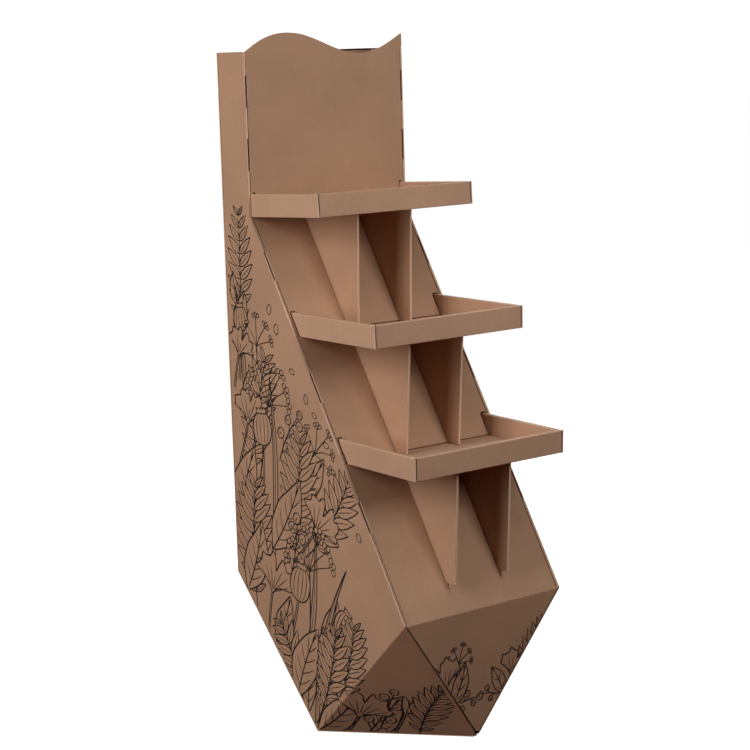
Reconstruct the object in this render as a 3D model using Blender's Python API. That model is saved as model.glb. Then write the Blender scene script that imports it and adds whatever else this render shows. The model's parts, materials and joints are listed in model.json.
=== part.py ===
"""Free-standing display stand of corrugated board, 1.6 m tall, with three folded trays.

Two side panels, a front sheet and a back sheet make a closed body that ends below in an
inverted pyramid. Each sheet is drawn as its outer skin, flat panels joined at their creases,
and is then thickened inwards. Two ribs stand inside the body, and their teeth come out
through slots in the sloping front and carry the trays. The trays hook into the same sheet.

Axes: +X to the right, -Y to the front, +Z up. Before the whole stand is centred, x = 0 is the
middle, y = 0 is the front face of the header and z = 0 is the floor. Lengths are in metres.
"""

from math import radians

import bmesh
import bpy
from mathutils import Matrix, Vector
from mathutils.geometry import interpolate_bezier

# Board and clearances
BOARD = 0.005
BACK_BOARD = 0.003
SEAT = 0.0003
WELD = 0.00001
CUT_OVERRUN = 0.02

# Body, seen from the side
BODY_WIDTH = 0.484
TOP_DEPTH = 0.107
SIDE_HEIGHT = 1.600
CREASE_HEIGHT = 1.214
KNEE_REACH = 0.526
KNEE_HEIGHT = 0.321
BEVEL_HEIGHT = 0.339
BASE_REAR_REACH = 0.193
APEX_REACH = 0.490
TIP_CUT = 0.010
TIP_WIDTH = 0.008

# Wave along the top of the header: heights above or below the side panels, places from the middle
CREST_RISE = 0.0423
CREST_PLACE = 0.112
DIP_DROP = 0.0116
DIP_PLACE = 0.112
CORNER_RISE = 0.0335
WAVE_START_SHARES = (0.33, 0.64)
WAVE_LEVEL_SHARE = 0.37
WAVE_END_SHARES = (0.33, 0.50)
WAVE_STEPS = 12

# Front sheet between the side panels, and the openings for its locks: there the sheet is cut back
# and the side panel is hollowed behind the outer half of its board
LEFT_PLAY = 0.0028
RIGHT_PLAY = 0.0015
LOCK_LENGTH = 0.076
LOCK_DROP = 0.1115
HEADER_LOCK_PITCH = 0.1465
LOCK_DEPTH = 0.009
LOCK_SKIN = 0.0025
SHEET_CUT = 0.001
SHEET_CUT_PLAY = 0.0006

# Glue flaps of the side panels, inside the back sheet
FLAP_WIDTH = 0.045
FLAP_TAPER = 0.012
FLAP_END_GAP = 0.006
BASE_FLAP_WIDTH = 0.035

# Trays: floor height at the rear edge, length of the floor, distance of each side wall inside the
# body's side, dip of the front below level
UPPER_TRAY_HEIGHT = CREASE_HEIGHT
UPPER_TRAY_LENGTH = 0.2560
UPPER_TRAY_INSET = 0.0065
UPPER_TRAY_DIP = radians(-2.0)
MIDDLE_TRAY_HEIGHT = 0.9415
MIDDLE_TRAY_LENGTH = 0.2715
MIDDLE_TRAY_INSET = 0.0155
MIDDLE_TRAY_DIP = radians(1.0)
LOWER_TRAY_HEIGHT = 0.662
LOWER_TRAY_LENGTH = 0.2345
LOWER_TRAY_INSET = 0.0140
LOWER_TRAY_DIP = radians(2.1)
WALL_HEIGHT = 0.054
WALL_THICKNESS = 0.013
TRAY_PLAY = 0.0012

# Hooks at the rear ends of the tray walls
HOOK_DROP = 0.009
HOOK_HEIGHT = 0.026
HOOK_NIB = 0.012
HOOK_REACH = 0.008
HOOK_CHAMFER = 0.004
HOOK_RISE = 0.004
HOOK_PLAY = 0.0015

# Ribs and their teeth
RIB_PLACE = 0.081
RIB_SHIFT = 0.003
RIB_HEIGHT = 1.300
UPPER_TOOTH_REACH = 0.204
UPPER_TOOTH_FOOT = 0.037
MIDDLE_TOOTH_REACH = 0.218
MIDDLE_TOOTH_FOOT = 0.036
LOWER_TOOTH_REACH = 0.208
LOWER_TOOTH_FOOT = 0.029
LOWER_TOOTH_HEIGHT = 0.386
NECK_DROP = 0.015
TOOTH_FLOOR_GAP = 0.0015
TOOTH_SLOT_PLAY = 0.0015
TOOTH_SLOT_FOOT = 0.010

# Ballast in the foot
BALLAST_COUNT = 3
BALLAST_THICKNESS = 0.026
BALLAST_REAR_REACH = 0.250
BALLAST_NOSE_WIDTH = 0.040
BALLAST_PLAY = 0.001
BALLAST_INSET = 0.003

# Colours, linear
KRAFT = (0.33, 0.21, 0.135)
KRAFT_TRAY = (0.36, 0.24, 0.16)
KRAFT_INSIDE = (0.28, 0.18, 0.115)
GREYBOARD = (0.30, 0.28, 0.25)
BOARD_ROUGHNESS = 0.85

HALF = BODY_WIDTH / 2
ACROSS = Vector((1, 0, 0))
UP = Vector((0, 0, 1))
REARWARDS = Vector((0, 1, 0))


def spot(y, z):
    """A point of the side view, in the middle plane."""
    return Vector((0, y, z))


TOP_REAR = spot(TOP_DEPTH, SIDE_HEIGHT)
BEVEL_TOP = spot(TOP_DEPTH, BEVEL_HEIGHT)
BASE_REAR = spot(-BASE_REAR_REACH, 0)
APEX = spot(-APEX_REACH, 0)
KNEE = spot(-KNEE_REACH, KNEE_HEIGHT)
CREASE = spot(0, CREASE_HEIGHT)
TOP_FRONT = spot(0, SIDE_HEIGHT)


def square_in(start, end, inside):
    """The unit direction in the side view that is square to a line and points to the inside."""
    square = ACROSS.cross(end - start).normalized()
    return square if square.dot(inside - start) > 0 else -square


SLOPE_DOWN = (KNEE - CREASE).normalized()
SLOPE_IN = square_in(CREASE, KNEE, BEVEL_TOP)


def shifted(start, end, inside, distance):
    """A line of the side view moved towards the inside."""
    step = square_in(start, end, inside) * distance
    return start + step, end + step


def crossing(first, second):
    """The point of the side view where two lines meet."""
    run = first[1] - first[0]
    other = second[1] - second[0]
    gap = second[0] - first[0]
    share = (gap.y * other.z - gap.z * other.y) / (run.y * other.z - run.z * other.y)
    return first[0] + run * share


def at_height(line, height):
    """The point of a line at a height, which may lie beyond its ends."""
    run = line[1] - line[0]
    return line[0] + run * ((height - line[0].z) / run.z)


def aside(point, x):
    """A point of the side view moved across to x."""
    return Vector((x, point.y, point.z))


def stepped_edge(start, end, centres, length, step):
    """Points from start to end, with a square notch round each centre along the way."""
    run = (end - start).normalized()
    points = [start]
    for centre in centres:
        opening = start + run * (centre - length / 2)
        closing = start + run * (centre + length / 2)
        points += [opening, opening + step, closing + step, closing]
    return points + [end]


def board_material(name, colour):
    material = bpy.data.materials.new(name)
    material.use_nodes = True
    shader = material.node_tree.nodes["Principled BSDF"]
    shader.inputs["Base Color"].default_value = (*colour, 1)
    shader.inputs["Roughness"].default_value = BOARD_ROUGHNESS
    shader.inputs["Metallic"].default_value = 0
    return material


def folded_board(name, panels, outward, thickness, colour, slots=()):
    """One sheet: its outer skin as flat panels, thickened inwards, with slots cut through it."""
    work = bmesh.new()
    for panel in panels:
        work.faces.new([work.verts.new(point) for point in panel])
    bmesh.ops.remove_doubles(work, verts=work.verts, dist=WELD)
    bmesh.ops.recalc_face_normals(work, faces=work.faces)
    work.faces.ensure_lookup_table()
    work.normal_update()
    if work.faces[0].normal.dot(outward) < 0:
        bmesh.ops.reverse_faces(work, faces=work.faces)
    mesh = bpy.data.meshes.new(name)
    work.to_mesh(mesh)
    work.free()
    sheet = bpy.data.objects.new(name, mesh)
    bpy.context.collection.objects.link(sheet)
    mesh.materials.append(board_material(name, colour))
    solid = sheet.modifiers.new("Board", "SOLIDIFY")
    solid.thickness = thickness
    solid.offset = -1
    solid.use_even_offset = True
    solid.use_quality_normals = True
    if slots:
        cut = sheet.modifiers.new("Slots", "BOOLEAN")
        cut.operation = "DIFFERENCE"
        cut.solver = "EXACT"
        cut.object = slot_cutter(name + "_slots", slots)
    return sheet


def slot_cutter(name, slots):
    """One guide object that holds a square-cornered cutter for each slot."""
    work = bmesh.new()
    for corner, across, along, through in slots:
        frame = Matrix((across, along, through)).transposed().to_4x4()
        centre = corner + (across + along + through) / 2
        bmesh.ops.create_cube(work, size=1, matrix=Matrix.Translation(centre) @ frame)
    bmesh.ops.recalc_face_normals(work, faces=work.faces)
    mesh = bpy.data.meshes.new(name)
    work.to_mesh(mesh)
    work.free()
    cutter = bpy.data.objects.new(name, mesh)
    bpy.context.collection.objects.link(cutter)
    cutter.hide_render = True
    cutter.display_type = "WIRE"
    return cutter


class Row:
    """One tray and the two teeth that carry it."""

    def __init__(self, name, height, length, inset, dip, tooth_reach, tooth_foot, hooked_skins):
        self.name = name
        self.height = height
        self.length = length
        self.half = HALF - inset
        self.dip = dip
        self.tooth_reach = tooth_reach
        self.tooth_foot = tooth_foot
        self.hooked_skins = hooked_skins
        self.turn = Matrix.Rotation(dip, 3, "X")
        self.wall_line = (CREASE, TOP_FRONT) if height >= CREASE_HEIGHT else (KNEE, CREASE)
        self.climb = (self.wall_line[1] - self.wall_line[0]).normalized()
        inside = square_in(*self.wall_line, BEVEL_TOP)
        self.inwards = inside
        self.rear = at_height(self.wall_line, height) - inside * SEAT

    def rear_at(self, level):
        """How far back the rear edge stands in the tray's own frame, at a level above its floor."""
        climb = self.turn.inverted() @ self.climb
        return level * climb.y / climb.z

    def underside(self):
        """The line of the side view that the teeth follow, one seat below the tray."""
        forwards = self.turn @ -REARWARDS
        start = self.rear - self.turn @ UP * SEAT
        return start, start + forwards * self.length


UPPER = Row("upper", UPPER_TRAY_HEIGHT, UPPER_TRAY_LENGTH, UPPER_TRAY_INSET, UPPER_TRAY_DIP,
            UPPER_TOOTH_REACH, UPPER_TOOTH_FOOT, ("inner",))
MIDDLE = Row("middle", MIDDLE_TRAY_HEIGHT, MIDDLE_TRAY_LENGTH, MIDDLE_TRAY_INSET, MIDDLE_TRAY_DIP,
             MIDDLE_TOOTH_REACH, MIDDLE_TOOTH_FOOT, ("outer", "inner"))
LOWER = Row("lower", LOWER_TRAY_HEIGHT, LOWER_TRAY_LENGTH, LOWER_TRAY_INSET, LOWER_TRAY_DIP,
            LOWER_TOOTH_REACH, LOWER_TOOTH_FOOT, ("outer", "inner"))
ROWS = (UPPER, MIDDLE, LOWER)


def header_locks():
    """Distances of the header's locks below the top of the side panels, as many as find room."""
    room = SIDE_HEIGHT - CREASE_HEIGHT - LOCK_LENGTH / 2
    count = int(room / HEADER_LOCK_PITCH)
    heights = [CREASE_HEIGHT + HEADER_LOCK_PITCH * number for number in range(count, 0, -1)]
    return [SIDE_HEIGHT - height for height in heights]


def slope_locks():
    """Distances of the slope's locks below the header's crease, one under each tray."""
    return [(CREASE_HEIGHT - row.height + LOCK_DROP) / -SLOPE_DOWN.z for row in ROWS]


def lock_openings(side):
    """Hollows along the front edge of a side panel, which leave its outer half standing."""
    openings = []
    wide = ACROSS * -side * (BOARD - LOCK_SKIN + CUT_OVERRUN)
    for start, run, inside, places in ((TOP_FRONT, -UP, REARWARDS, header_locks()),
                                       (CREASE, SLOPE_DOWN, SLOPE_IN, slope_locks())):
        for place in places:
            corner = start + run * (place - LOCK_LENGTH / 2) - inside * CUT_OVERRUN
            corner = aside(corner, side * (HALF - LOCK_SKIN))
            openings.append((corner, wide, run * LOCK_LENGTH, inside * (LOCK_DEPTH + CUT_OVERRUN)))
    return openings


def facet_corners(side):
    """The lower corner facet of one side, at the level of the base flaps."""
    level = BACK_BOARD + SEAT
    knee = aside(KNEE, side * HALF)
    rear = at_height((knee, aside(BASE_REAR, side * HALF)), level)
    apex = at_height((knee, APEX), level)
    return knee, rear, apex


def facet_inwards(side):
    """The unit direction square to a lower corner facet, pointing into the foot."""
    knee, rear, apex = facet_corners(side)
    square = (rear - knee).cross(apex - knee).normalized()
    return square if square.x * side < 0 else -square


def tapered_flap(start, end, into):
    """A glue flap on a crease: it runs into the body and gets shorter at both ends."""
    run = (end - start).normalized() * FLAP_TAPER
    return [start, end, end + into - run, start + into + run]


def side_panel(name, side):
    """Side, lower corner facet and three glue flaps, folded from one sheet."""
    inset = BACK_BOARD + SEAT
    rear_line = shifted(TOP_REAR, BEVEL_TOP, CREASE, inset)
    bevel_line = shifted(BEVEL_TOP, BASE_REAR, KNEE, inset)
    rear_top = aside(at_height(rear_line, SIDE_HEIGHT), side * HALF)
    bevel_top = aside(crossing(rear_line, bevel_line), side * HALF)
    bevel_foot = aside(at_height(bevel_line, inset), side * HALF)
    knee, facet_rear, facet_apex = facet_corners(side)
    crease = aside(CREASE, side * HALF)
    top_front = aside(TOP_FRONT, side * HALF)

    end_gap = FLAP_END_GAP
    rear_run = (bevel_top - rear_top).normalized() * end_gap
    bevel_run = (bevel_foot - bevel_top).normalized() * end_gap
    rear_crease = (rear_top + rear_run, bevel_top - rear_run)
    bevel_crease = (bevel_top + bevel_run, bevel_foot - bevel_run)
    wall = [top_front, crease, knee, facet_rear, bevel_foot, *reversed(bevel_crease), bevel_top]
    wall += [*reversed(rear_crease), rear_top]

    front_run = (knee - facet_apex).normalized()
    base_run = (facet_rear - facet_apex).normalized()
    tip_front = facet_apex + front_run * TIP_CUT
    tip_base = facet_apex + base_run * TIP_CUT
    base_crease = (tip_base + base_run * end_gap, facet_rear - base_run * end_gap)
    facet = [knee, tip_front, tip_base, *base_crease, facet_rear]

    flap_into = ACROSS * -side * FLAP_WIDTH
    base_in = UP.cross(base_run)
    base_in = base_in if base_in.x * side < 0 else -base_in
    base_flap = [base_crease[0], base_crease[1]]
    base_flap.append(base_crease[1] - ACROSS * side * (BASE_FLAP_WIDTH / abs(base_in.x)))
    base_flap.append(base_crease[0] + REARWARDS * (BASE_FLAP_WIDTH / abs(base_in.y)))
    panels = [wall, facet, tapered_flap(*rear_crease, flap_into)]
    panels += [tapered_flap(*bevel_crease, flap_into), base_flap]
    return folded_board(name, panels, ACROSS * side, BOARD, KRAFT, lock_openings(side))


def header_wave(left, right):
    """The top edge of the header, from its left end to its right corner."""
    level = Vector((0, 0, SIDE_HEIGHT))
    start = level + ACROSS * left + UP * SEAT
    crest = level - ACROSS * CREST_PLACE + UP * CREST_RISE
    dip = level + ACROSS * DIP_PLACE - UP * DIP_DROP
    corner = level + ACROSS * right + UP * CORNER_RISE
    climb = crest - start
    fall = ACROSS * (dip - crest).x * WAVE_LEVEL_SHARE
    lift = corner - dip
    start_handle = start + Vector((climb.x * WAVE_START_SHARES[0], 0, climb.z * WAVE_START_SHARES[1]))
    end_handle = corner - Vector((lift.x * WAVE_END_SHARES[0], 0, lift.z * WAVE_END_SHARES[1]))
    crest_handle = crest - ACROSS * climb.x * WAVE_LEVEL_SHARE
    dip_handle = dip + ACROSS * lift.x * WAVE_LEVEL_SHARE
    points = interpolate_bezier(start, start_handle, crest_handle, crest, WAVE_STEPS)
    points += interpolate_bezier(crest, crest + fall, dip - fall, dip, WAVE_STEPS)[1:]
    points += interpolate_bezier(dip, dip_handle, end_handle, corner, WAVE_STEPS)[1:]
    return points


def front_sheet_edge(side, play):
    """One side edge of the front sheet, cut back at its locks: along header, slope and foot."""
    half = HALF - BOARD - play
    top = aside(TOP_FRONT + UP * SEAT, side * half)
    crease = aside(CREASE, side * half)
    knee = aside(KNEE, side * half)
    tip = knee + (APEX - aside(KNEE, side * HALF)) * ((half - TIP_WIDTH / 2) / HALF)
    cut = ACROSS * -side * SHEET_CUT
    length = LOCK_LENGTH + 2 * SHEET_CUT_PLAY
    header_places = [place + SEAT for place in header_locks()]
    header = stepped_edge(top, crease, header_places, length, cut)
    slope = stepped_edge(crease, knee, slope_locks(), length, cut)
    return header, slope, [knee, tip]


def front_sheet():
    """Header, sloping face and lower front facet, folded from one sheet."""
    left_header, left_slope, left_foot = front_sheet_edge(-1, LEFT_PLAY)
    right_header, right_slope, right_foot = front_sheet_edge(1, RIGHT_PLAY)
    lip = [aside(TOP_FRONT + UP * SEAT, HALF)]
    wave = header_wave(left_header[0].x, HALF)
    header = wave + lip + right_header + left_header[:0:-1]
    slope = right_slope + left_slope[::-1]
    foot = right_foot + left_foot[::-1]
    slots = [*tooth_slots(), *hook_slots()]
    return folded_board("front_sheet", [header, slope, foot], -REARWARDS, BOARD, KRAFT, slots)


def tooth_slots():
    """A slot in the slope for the neck of each tooth, as corner, width, length and depth."""
    slots = []
    wide = BOARD + 2 * TOOTH_SLOT_PLAY
    for row in ROWS:
        neck_top, neck_foot = neck_of(row)
        start = neck_top - SLOPE_DOWN * SEAT
        end = neck_foot + SLOPE_DOWN * TOOTH_SLOT_FOOT
        deep = SLOPE_IN * (BOARD + 2 * CUT_OVERRUN)
        for side in (-1, 1):
            corner = aside(start - SLOPE_IN * CUT_OVERRUN, rib_middle(side) - wide / 2)
            slots.append((corner, ACROSS * wide, end - start, deep))
    return slots


def hook_skins(row):
    """Distances from the middle to the inner and outer limits of a tray wall's hooked boards."""
    outer = row.half if "outer" in row.hooked_skins else row.half - WALL_THICKNESS + BOARD
    return row.half - WALL_THICKNESS, outer


def hook_slots():
    """A slot for the hooks of each tray wall: they drop by their nib once they are through."""
    slots = []
    for row in ROWS:
        inner, outer = hook_skins(row)
        wide = outer - inner + 2 * HOOK_PLAY
        wall_top = row.rear + row.climb * wall_climb(row)
        start = wall_top + row.climb * HOOK_RISE
        end = wall_top - row.climb * (HOOK_DROP + HOOK_HEIGHT + SEAT)
        deep = row.inwards * (BOARD + 2 * CUT_OVERRUN)
        for side in (-1, 1):
            middle = side * (inner + outer) / 2
            corner = aside(start - row.inwards * CUT_OVERRUN, middle - wide / 2)
            slots.append((corner, ACROSS * wide, end - start, deep))
    return slots


def wall_climb(row):
    """Length of a tray wall's rear edge along the sheet that it leans on."""
    climb = row.turn.inverted() @ row.climb
    return WALL_HEIGHT / climb.z


def back_sheet():
    """Back, bevel and base, folded from one lighter sheet that covers the glue flaps."""
    edges = [[aside(point, sign * HALF) for sign in (-1, 1)] for point in (TOP_REAR, BEVEL_TOP, BASE_REAR)]
    tips = [APEX + (aside(BASE_REAR, sign * HALF) - APEX).normalized() * TIP_CUT for sign in (-1, 1)]
    back = edges[0] + edges[1][::-1]
    bevel = edges[1] + edges[2][::-1]
    base = edges[2] + tips[::-1]
    return folded_board("back_sheet", [back, bevel, base], REARWARDS, BACK_BOARD, KRAFT_INSIDE)


def rib_middle(side):
    return side * RIB_PLACE + RIB_SHIFT


def neck_of(row):
    """Where the neck of a tooth enters the sloping face, on its outer skin: top and foot."""
    slope = (CREASE, KNEE)
    top = at_height(slope, row.height) + SLOPE_DOWN * NECK_DROP
    return top, at_height(slope, tooth_bottom(row))


def tooth_bottom(row):
    """The teeth end just above the next tray's floor, and the last ones at a height of their own."""
    if row is LOWER:
        return LOWER_TOOTH_HEIGHT
    below = ROWS[ROWS.index(row) + 1]
    return below.height + BOARD + TOOTH_FLOOR_GAP


def tooth(row):
    """Outline of one tooth, from the top of its neck to the foot of its neck."""
    behind = shifted(CREASE, KNEE, BEVEL_TOP, BOARD + SEAT)
    before = shifted(CREASE, KNEE, BEVEL_TOP, -SEAT)
    neck_top = neck_of(row)[0]
    bottom = tooth_bottom(row)
    underside = row.underside()
    shoulder = crossing(underside, before)
    heading = (underside[1] - underside[0]).normalized()
    nose = shoulder + heading * row.tooth_reach
    toe = at_height((CREASE, KNEE), bottom) - REARWARDS * row.tooth_foot
    points = [neck_top + SLOPE_IN * (BOARD + SEAT), neck_top - SLOPE_IN * SEAT]
    points += [shoulder, nose, toe, at_height(behind, bottom)]
    return points


def rib(name, side):
    """One flat sheet: a band behind the front sheet, with a tooth for each tray."""
    behind = BOARD + SEAT
    outermost = abs(rib_middle(side)) + BOARD / 2
    header_line = shifted(TOP_FRONT, CREASE, TOP_REAR, behind)
    slope_line = shifted(CREASE, KNEE, BEVEL_TOP, behind)
    foot_line = shifted(KNEE, APEX, BASE_REAR, behind)
    back_line = shifted(TOP_REAR, BEVEL_TOP, CREASE, BACK_BOARD + SEAT)
    bevel_line = shifted(BEVEL_TOP, BASE_REAR, KNEE, BACK_BOARD + SEAT)
    bottom = BACK_BOARD + SEAT + BOARD + SEAT

    square = facet_inwards(1)
    knee = aside(KNEE, HALF)
    reach = (knee + square * behind).dot(square) - square.x * outermost
    facet_line = [spot((reach - square.z * z) / square.y, z) for z in (0, KNEE_HEIGHT)]

    outline = [at_height(header_line, RIB_HEIGHT), crossing(header_line, slope_line)]
    for row in ROWS:
        outline += tooth(row)
    outline += [crossing(slope_line, foot_line), crossing(foot_line, facet_line)]
    outline += [at_height(facet_line, bottom), at_height(bevel_line, bottom)]
    outline += [at_height(back_line, RIB_HEIGHT)]
    skin = rib_middle(side) - BOARD / 2
    return folded_board(name, [[aside(point, skin) for point in outline]], -ACROSS, BOARD, KRAFT_INSIDE)


def rear_edge(row, top, bottom, hooked):
    """Rear edge of a tray wall in the tray's own frame, with its hook, from top to bottom."""
    climb = row.turn.inverted() @ row.climb
    inwards = row.turn.inverted() @ row.inwards
    upper = spot(row.rear_at(top), top)
    lower = spot(row.rear_at(bottom), bottom)
    if not hooked:
        return [upper, lower]
    near = BOARD + 2 * SEAT
    far = near + HOOK_REACH
    root_top = upper - climb * HOOK_DROP
    root_foot = root_top - climb * HOOK_HEIGHT
    nib = climb * -HOOK_NIB
    slant = climb * HOOK_CHAMFER
    hook = [root_top, root_top + inwards * (far - HOOK_CHAMFER), root_top + inwards * far - slant]
    hook += [root_foot + nib + slant + inwards * far, root_foot + nib + inwards * (far - HOOK_CHAMFER)]
    hook += [root_foot + nib + inwards * near, root_foot + inwards * near, root_foot]
    return [upper, *hook, lower]


def tray(row):
    """A roll-over tray: floor, a doubled front wall and two doubled side walls with hooks."""
    half = row.half
    front = -row.length
    behind_front = front + WALL_THICKNESS + TRAY_PLAY
    roll_foot = BOARD + SEAT
    span = half - BOARD - TRAY_PLAY
    inner = half - WALL_THICKNESS
    floor = [Vector((x, front, 0)) for x in (-half, -span, span, half)]
    floor += [Vector((half, 0, 0)), Vector((-half, 0, 0))]
    panels = [floor]
    for side in (-1, 1):
        outer_edge = rear_edge(row, WALL_HEIGHT, 0, "outer" in row.hooked_skins)
        inner_edge = rear_edge(row, WALL_HEIGHT, roll_foot, "inner" in row.hooked_skins)
        outer_wall = [spot(front, 0), spot(front, WALL_HEIGHT), spot(behind_front, WALL_HEIGHT)]
        inner_wall = [spot(behind_front, roll_foot), spot(behind_front, WALL_HEIGHT)]
        panels.append([aside(point, side * half) for point in outer_wall + outer_edge])
        panels.append([aside(point, side * inner) for point in inner_wall + inner_edge])
        roll = [(half, outer_edge[0].y), (half, behind_front), (inner, behind_front), (inner, inner_edge[0].y)]
        panels.append([Vector((side * x, y, WALL_HEIGHT)) for x, y in roll])
    profile = [spot(front, 0), spot(front, WALL_HEIGHT)]
    profile += [spot(front + WALL_THICKNESS, WALL_HEIGHT), spot(front + WALL_THICKNESS, roll_foot)]
    for start, end in zip(profile, profile[1:]):
        panels.append([aside(start, -span), aside(start, span), aside(end, span), aside(end, -span)])
    piece = folded_board(row.name + "_tray", panels, -UP, BOARD, KRAFT_TRAY)
    piece.location = row.rear
    piece.rotation_euler.x = row.dip
    return piece


def ballast_block(number):
    """A flat block of greyboard that fills the foot between the ribs."""
    half = RIB_PLACE - BOARD / 2 - BALLAST_PLAY
    flare = (APEX_REACH - BASE_REAR_REACH) / HALF
    outer = (RIB_SHIFT - half, RIB_SHIFT + half)
    nose = (RIB_SHIFT - BALLAST_NOSE_WIDTH / 2, RIB_SHIFT + BALLAST_NOSE_WIDTH / 2)
    slanted = [Vector((x, -APEX_REACH + BALLAST_INSET + abs(x) * flare, 0)) for x in (outer[0], *nose, outer[1])]
    outline = [Vector((x, -BALLAST_REAR_REACH, 0)) for x in outer[::-1]] + slanted
    level = BACK_BOARD + BOARD + 3 * SEAT + number * (BALLAST_THICKNESS + SEAT)
    outline = [point + UP * level for point in outline]
    name = "ballast_block_" + str(number + 1)
    return folded_board(name, [outline], -UP, BALLAST_THICKNESS, GREYBOARD)


def clear_scene():
    for leftover in list(bpy.data.objects):
        bpy.data.objects.remove(leftover)


def build():
    clear_scene()
    pieces = [side_panel("side_panel_left", -1), side_panel("side_panel_right", 1)]
    pieces += [front_sheet(), back_sheet(), rib("rib_left", -1), rib("rib_right", 1)]
    pieces += [tray(row) for row in ROWS]
    pieces += [ballast_block(number) for number in range(BALLAST_COUNT)]

    centre = bpy.data.objects.new("stand_centre", None)
    bpy.context.collection.objects.link(centre)
    front_bottom = LOWER.rear + LOWER.turn @ Vector((0, -LOWER.length, 0))
    front_top = front_bottom + LOWER.turn @ UP * WALL_HEIGHT
    centre.location.y = -(min(front_bottom.y, front_top.y) + TOP_DEPTH) / 2
    for piece in pieces:
        piece.parent = centre
        for modifier in piece.modifiers:
            if modifier.type == "BOOLEAN":
                modifier.object.parent = centre


build()
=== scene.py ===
"""Looks of the folded display stand: kraft corrugated board with rounded creases and raw cut edges.

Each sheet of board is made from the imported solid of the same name. Its liners and its cut edges
are told apart, its creases are rounded, and every face corner keeps three numbers for the
materials: how far it lies across the flutes, how deep it lies in the board, and if it is on a
fold. Lengths are in metres, but in millimetres in the drawings.
"""

import json
from math import cos, pi, radians, sin, tau

import bmesh
import bpy
import numpy as np
from mathutils import Matrix, Vector
from mathutils.bvhtree import BVHTree

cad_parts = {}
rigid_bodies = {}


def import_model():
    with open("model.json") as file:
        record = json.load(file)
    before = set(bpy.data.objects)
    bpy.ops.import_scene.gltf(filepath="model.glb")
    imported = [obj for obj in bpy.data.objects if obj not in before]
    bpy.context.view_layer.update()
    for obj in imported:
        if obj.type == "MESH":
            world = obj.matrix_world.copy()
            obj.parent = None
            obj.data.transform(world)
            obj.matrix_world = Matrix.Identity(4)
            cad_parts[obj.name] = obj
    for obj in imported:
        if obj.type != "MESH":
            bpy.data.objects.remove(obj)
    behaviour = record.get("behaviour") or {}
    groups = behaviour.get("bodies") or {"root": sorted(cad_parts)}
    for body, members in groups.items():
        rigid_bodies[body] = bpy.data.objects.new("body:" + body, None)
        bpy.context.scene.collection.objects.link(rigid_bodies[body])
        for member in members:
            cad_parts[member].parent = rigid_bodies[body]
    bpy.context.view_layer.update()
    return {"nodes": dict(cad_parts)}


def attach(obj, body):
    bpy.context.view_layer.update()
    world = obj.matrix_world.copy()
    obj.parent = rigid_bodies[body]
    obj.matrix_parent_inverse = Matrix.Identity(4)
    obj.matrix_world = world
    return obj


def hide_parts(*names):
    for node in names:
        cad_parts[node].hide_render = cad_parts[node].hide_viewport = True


UP = Vector((0, 0, 1))
REARWARDS = Vector((0, 1, 0))

# Board
BOARD = 0.005
BACK_BOARD = 0.003
WELD = 0.00001
FLAT_TURN = radians(0.5)
FOLD_TURN = radians(5)
SQUARENESS = radians(40)
OUTER_FOLD = 0.0024
INNER_FOLD = 0.0008
OUTER_FOLD_STEPS = 4
INNER_FOLD_STEPS = 2
ROUND_PROFILE = 0.5
BY_AREA_ALONE = 100
FLUTE_PITCH = 0.0078

# A cut edge is at most so many boards wide, and flutes run along a face where at least such a
# share of their direction lies on it
WIDEST_EDGE = 1.1
LEAST_FLUTE = 0.5

# Places of the materials on a sheet of board
LINER, EDGE, FOOT_EDGE = range(3)

# Colours of the paper, of its cut edges and of the ink, and of painted shade in joints and gaps
KRAFT = (0.52, 0.308, 0.190)
KRAFT_TRAY = (0.575, 0.352, 0.226)
CUT_EDGE = (0.90, 0.61, 0.43)
CUT_EDGE_TRAY = (0.90, 0.63, 0.46)
# Painted shade: the cut edges below the knee are dark
CUT_EDGE_FOOT = (0.30, 0.17, 0.10)
# Painted shade on the inner half of the trays' cut edges, where they stand in a joint
TRAY_JOINT_SHADE = 0.95
INK_TONES = ((0.018, 0.015, 0.014), (0.034, 0.026, 0.022))
GAP_SHADE_TONES = ((0.098, 0.040, 0.020), (0.142, 0.060, 0.032))
GREY_TONES = ((0.21, 0.19, 0.17), (0.27, 0.25, 0.22))
GREY_FLECK = (0.10, 0.09, 0.08)

# Grain of the paper, in repeats in a metre
CLOUDS = 7.0
FIBRES = (260, 260, 90)
FLECKS = (900, 900, 420)
WEAR_AND_HIGHLIGHT = 260.0
CRUSH = (160, 160, 160)
INK_GRAIN = (700, 700, 500)
GAP_SHADE_FUZZ = (420, 420, 420)
GREY_CLOUDS = 18.0
GREY_FLECKS = (420, 420, 420)

# A cut edge, in shares of the board's thickness
MIDDLE = 0.5
FLUTE_SWING = 0.36
FLUTE_PAPER = (0.10, 0.16)
LINER_PAPER = (0.38, 0.42)
# Where painted shade starts and ends on the inner half of a cut edge in a joint
JOINT_SHADE_EDGE = (0.42, 0.54)

# Camera, from the photograph
EYE = Vector((-3.1181, -3.7422, 1.600))
LOOK = Vector((0.6250, 0.7649, -0.1556))
LEVEL = Vector((0.7710, -0.6361, -0.0303))
LENS = 99.64
SENSOR = 36
FARTHEST = 200

# Printed panels
MILLIMETRE = 0.001
HALF_WIDTH = 0.242
REAR = 0.33436
KNEE = (-HALF_WIDTH, -0.29864, 0.321)
BASE_REAR = (-HALF_WIDTH, 0.03436, 0.0)
APEX = (0.0, -0.26264, 0.0)
SLOPE_TOP = (0.22736, 1.2140)
FOLD_LEVELS = (-3.2, -2.4, -1.6, -0.8, 0.0, 0.8, 1.6, 2.4, 3.2)
INK_LIFT = 0.00010
INK_LIFT_STEP = 0.00001
INK_LAYERS = 5
INK_SINK = 0.0004

# Painted shade: a dark line inside the back sheet's upper rim, where its inner face lies in shadow,
# in millimetres
RIM_REACH = 230.0
RIM_LEVEL = 1597.3
RIM_BAND = 4.0
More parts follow.
